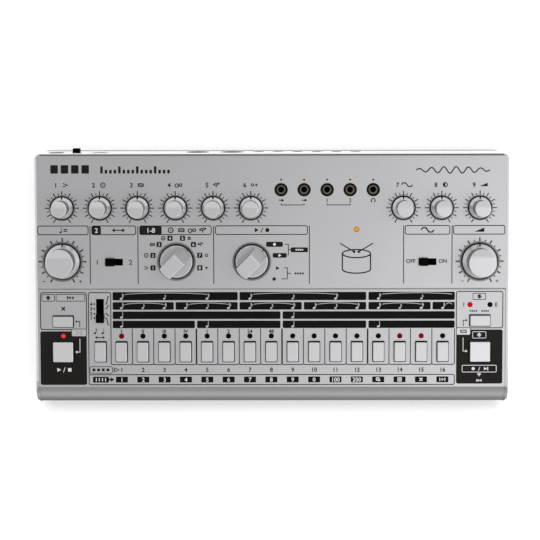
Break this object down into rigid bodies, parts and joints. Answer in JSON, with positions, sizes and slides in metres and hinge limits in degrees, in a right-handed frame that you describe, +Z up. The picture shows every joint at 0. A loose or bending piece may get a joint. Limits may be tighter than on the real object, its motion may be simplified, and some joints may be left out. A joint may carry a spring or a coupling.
{
  "type": "drum machine",
  "caption": "Sloped desktop drum machine with turning knobs, selector switches, slide switches, pressing step buttons, indicator lamps and panel and rear sockets.",
  "frame": {"origin": "centre of the bounding box in plan, at desk level under the feet", "axes": "+X to the player's right, +Y from the player's edge to the rear wall, +Z up"},
  "size_m": [0.305, 0.1647, 0.0562],
  "materials": {
    "case_silver": "fine satin silver-grey paint look",
    "base_dark": "fine texture",
    "foot_rubber": "matt",
    "screw_steel": "dark plated",
    "board_green": "solder mask",
    "socket_black": "moulded",
    "frame_steel": "plated",
    "lens_red": "tinted lens",
    "ring_chrome": "polished",
    "knob_silver": "satin",
    "cap_black": "satin",
    "button_grey": "satin"
  },
  "bodies": {
    "case": {"upper_housing": "case_silver", "lower_housing": "base_dark", "rubber_feet": "foot_rubber", "case_screws": "screw_steel", "board_fasteners": "screw_steel", "panel_board": "board_green", "main_board": "board_green", "power_board": "board_green", "board_headers": "socket_black", "pot_bodies": "frame_steel", "rotary_switch_bodies": "frame_steel", "slide_switch_bodies": "socket_black", "tact_switches": "socket_black", "power_switch_body": "socket_black", "step_leds": "lens_red", "indicator_leds": "lens_red", "panel_jacks": "socket_black", "panel_jack_ferrules": "ring_chrome", "output_jacks": "socket_black", "midi_sockets": "socket_black", "usb_socket": "frame_steel", "power_inlet": "socket_black"},
    "accent_knob": {"accent_knob": "knob_silver"},
    "bass_drum_knob": {"bass_drum_knob": "knob_silver"},
    "snare_drum_knob": {"snare_drum_knob": "knob_silver"},
    "tom_knob": {"tom_knob": "knob_silver"},
    "cymbal_knob": {"cymbal_knob": "knob_silver"},
    "hi_hat_knob": {"hi_hat_knob": "knob_silver"},
    "distortion_knob": {"distortion_knob": "knob_silver"},
    "tone_knob": {"tone_knob": "knob_silver"},
    "level_knob": {"level_knob": "knob_silver"},
    "tempo_knob": {"tempo_knob": "knob_silver"},
    "volume_knob": {"volume_knob": "knob_silver"},
    "instrument_selector": {"instrument_selector": "knob_silver"},
    "mode_selector": {"mode_selector": "knob_silver"},
    "select_slider": {"select_slider": "cap_black"},
    "distortion_slider": {"distortion_slider": "cap_black"},
    "scale_slider": {"scale_slider": "cap_black"},
    "step_button_01": {"step_button_01": "button_grey"},
    "step_button_02": {"step_button_02": "button_grey"},
    "step_button_03": {"step_button_03": "button_grey"},
    "step_button_04": {"step_button_04": "button_grey"},
    "step_button_05": {"step_button_05": "button_grey"},
    "step_button_06": {"step_button_06": "button_grey"},
    "step_button_07": {"step_button_07": "button_grey"},
    "step_button_08": {"step_button_08": "button_grey"},
    "step_button_09": {"step_button_09": "button_grey"},
    "step_button_10": {"step_button_10": "button_grey"},
    "step_button_11": {"step_button_11": "button_grey"},
    "step_button_12": {"step_button_12": "button_grey"},
    "step_button_13": {"step_button_13": "button_grey"},
    "step_button_14": {"step_button_14": "button_grey"},
    "step_button_15": {"step_button_15": "button_grey"},
    "step_button_16": {"step_button_16": "button_grey"},
    "function_button": {"function_button": "button_grey"},
    "start_stop_button": {"start_stop_button": "button_grey"},
    "clear_button": {"clear_button": "button_grey"},
    "pattern_group_button": {"pattern_group_button": "button_grey"},
    "tap_button": {"tap_button": "button_grey"},
    "power_button": {"power_button": "cap_black"}
  },
  "joints": [
    {"name": "accent_knob_turn", "type": "hinge", "parent": "case", "child": "accent_knob", "pos_m": [-0.1339, 0.04207, 0.04127], "axis": [0, -0.1219, 0.9925], "range_deg": [-150, 150]},
    {"name": "bass_drum_knob_turn", "type": "hinge", "parent": "case", "child": "bass_drum_knob", "pos_m": [-0.10978, 0.04207, 0.04127], "axis": [0, -0.1219, 0.9925], "range_deg": [-150, 150]},
    {"name": "snare_drum_knob_turn", "type": "hinge", "parent": "case", "child": "snare_drum_knob", "pos_m": [-0.08566, 0.04207, 0.04127], "axis": [0, -0.1219, 0.9925], "range_deg": [-150, 150]},
    {"name": "tom_knob_turn", "type": "hinge", "parent": "case", "child": "tom_knob", "pos_m": [-0.06154, 0.04207, 0.04127], "axis": [0, -0.1219, 0.9925], "range_deg": [-150, 150]},
    {"name": "cymbal_knob_turn", "type": "hinge", "parent": "case", "child": "cymbal_knob", "pos_m": [-0.03742, 0.04207, 0.04127], "axis": [0, -0.1219, 0.9925], "range_deg": [-150, 150]},
    {"name": "hi_hat_knob_turn", "type": "hinge", "parent": "case", "child": "hi_hat_knob", "pos_m": [-0.0133, 0.04207, 0.04127], "axis": [0, -0.1219, 0.9925], "range_deg": [-150, 150]},
    {"name": "distortion_knob_turn", "type": "hinge", "parent": "case", "child": "distortion_knob", "pos_m": [0.084, 0.04207, 0.04127], "axis": [0, -0.1219, 0.9925], "range_deg": [-150, 150]},
    {"name": "tone_knob_turn", "type": "hinge", "parent": "case", "child": "tone_knob", "pos_m": [0.1084, 0.04207, 0.04127], "axis": [0, -0.1219, 0.9925], "range_deg": [-150, 150]},
    {"name": "level_knob_turn", "type": "hinge", "parent": "case", "child": "level_knob", "pos_m": [0.1328, 0.04207, 0.04127], "axis": [0, -0.1219, 0.9925], "range_deg": [-150, 150]},
    {"name": "tempo_knob_turn", "type": "hinge", "parent": "case", "child": "tempo_knob", "pos_m": [-0.1339, 0.00802, 0.03709], "axis": [0, -0.1219, 0.9925], "range_deg": [-150, 150]},
    {"name": "volume_knob_turn", "type": "hinge", "parent": "case", "child": "volume_knob", "pos_m": [0.1328, 0.00802, 0.03709], "axis": [0, -0.1219, 0.9925], "range_deg": [-150, 150]},
    {"name": "instrument_selector_turn", "type": "hinge", "parent": "case", "child": "instrument_selector", "pos_m": [-0.061, 0.00802, 0.03709], "axis": [0, -0.1219, 0.9925], "range_deg": [-60, 150]},
    {"name": "mode_selector_turn", "type": "hinge", "parent": "case", "child": "mode_selector", "pos_m": [-0.0128, 0.00802, 0.03709], "axis": [0, -0.1219, 0.9925], "range_deg": [-90, 0]},
    {"name": "select_slider_slide", "type": "slide", "parent": "case", "child": "select_slider", "axis": [1, 0, 0], "range_m": [0, 0.0051]},
    {"name": "distortion_slider_slide", "type": "slide", "parent": "case", "child": "distortion_slider", "axis": [1, 0, 0], "range_m": [0, 0.0051]},
    {"name": "scale_slider_slide", "type": "slide", "parent": "case", "child": "scale_slider", "axis": [0, 0.9925, 0.1219], "range_m": [0, 0.00918]},
    {"name": "step_button_01_press", "type": "slide", "parent": "case", "child": "step_button_01", "axis": [0, 0.1219, -0.9925], "range_m": [0, 0.0006], "stiffness_N_per_m": 2500},
    {"name": "step_button_02_press", "type": "slide", "parent": "case", "child": "step_button_02", "axis": [0, 0.1219, -0.9925], "range_m": [0, 0.0006], "stiffness_N_per_m": 2500},
    {"name": "step_button_03_press", "type": "slide", "parent": "case", "child": "step_button_03", "axis": [0, 0.1219, -0.9925], "range_m": [0, 0.0006], "stiffness_N_per_m": 2500},
    {"name": "step_button_04_press", "type": "slide", "parent": "case", "child": "step_button_04", "axis": [0, 0.1219, -0.9925], "range_m": [0, 0.0006], "stiffness_N_per_m": 2500},
    {"name": "step_button_05_press", "type": "slide", "parent": "case", "child": "step_button_05", "axis": [0, 0.1219, -0.9925], "range_m": [0, 0.0006], "stiffness_N_per_m": 2500},
    {"name": "step_button_06_press", "type": "slide", "parent": "case", "child": "step_button_06", "axis": [0, 0.1219, -0.9925], "range_m": [0, 0.0006], "stiffness_N_per_m": 2500},
    {"name": "step_button_07_press", "type": "slide", "parent": "case", "child": "step_button_07", "axis": [0, 0.1219, -0.9925], "range_m": [0, 0.0006], "stiffness_N_per_m": 2500},
    {"name": "step_button_08_press", "type": "slide", "parent": "case", "child": "step_button_08", "axis": [0, 0.1219, -0.9925], "range_m": [0, 0.0006], "stiffness_N_per_m": 2500},
    {"name": "step_button_09_press", "type": "slide", "parent": "case", "child": "step_button_09", "axis": [0, 0.1219, -0.9925], "range_m": [0, 0.0006], "stiffness_N_per_m": 2500},
    {"name": "step_button_10_press", "type": "slide", "parent": "case", "child": "step_button_10", "axis": [0, 0.1219, -0.9925], "range_m": [0, 0.0006], "stiffness_N_per_m": 2500},
    {"name": "step_button_11_press", "type": "slide", "parent": "case", "child": "step_button_11", "axis": [0, 0.1219, -0.9925], "range_m": [0, 0.0006], "stiffness_N_per_m": 2500},
    {"name": "step_button_12_press", "type": "slide", "parent": "case", "child": "step_button_12", "axis": [0, 0.1219, -0.9925], "range_m": [0, 0.0006], "stiffness_N_per_m": 2500},
    {"name": "step_button_13_press", "type": "slide", "parent": "case", "child": "step_button_13", "axis": [0, 0.1219, -0.9925], "range_m": [0, 0.0006], "stiffness_N_per_m": 2500},
    {"name": "step_button_14_press", "type": "slide", "parent": "case", "child": "step_button_14", "axis": [0, 0.1219, -0.9925], "range_m": [0, 0.0006], "stiffness_N_per_m": 2500},
    {"name": "step_button_15_press", "type": "slide", "parent": "case", "child": "step_button_15", "axis": [0, 0.1219, -0.9925], "range_m": [0, 0.0006], "stiffness_N_per_m": 2500},
    {"name": "step_button_16_press", "type": "slide", "parent": "case", "child": "step_button_16", "axis": [0, 0.1219, -0.9925], "range_m": [0, 0.0006], "stiffness_N_per_m": 2500},
    {"name": "function_button_press", "type": "slide", "parent": "case", "child": "function_button", "axis": [0, 0.1219, -0.9925], "range_m": [0, 0.0006], "stiffness_N_per_m": 2500},
    {"name": "start_stop_button_press", "type": "slide", "parent": "case", "child": "start_stop_button", "axis": [0, 0.1219, -0.9925], "range_m": [0, 0.0006], "stiffness_N_per_m": 2500},
    {"name": "clear_button_press", "type": "slide", "parent": "case", "child": "clear_button", "axis": [0, 0.1219, -0.9925], "range_m": [0, 0.0006], "stiffness_N_per_m": 2500},
    {"name": "pattern_group_button_press", "type": "slide", "parent": "case", "child": "pattern_group_button", "axis": [0, 0.1219, -0.9925], "range_m": [0, 0.0006], "stiffness_N_per_m": 2500},
    {"name": "tap_button_press", "type": "slide", "parent": "case", "child": "tap_button", "axis": [0, 0.1219, -0.9925], "range_m": [0, 0.0006], "stiffness_N_per_m": 2500},
    {"name": "power_button_press", "type": "slide", "parent": "case", "child": "power_button", "axis": [0, -0.9925, -0.1219], "range_m": [0, 0.002], "stiffness_N_per_m": 1000}
  ]
}
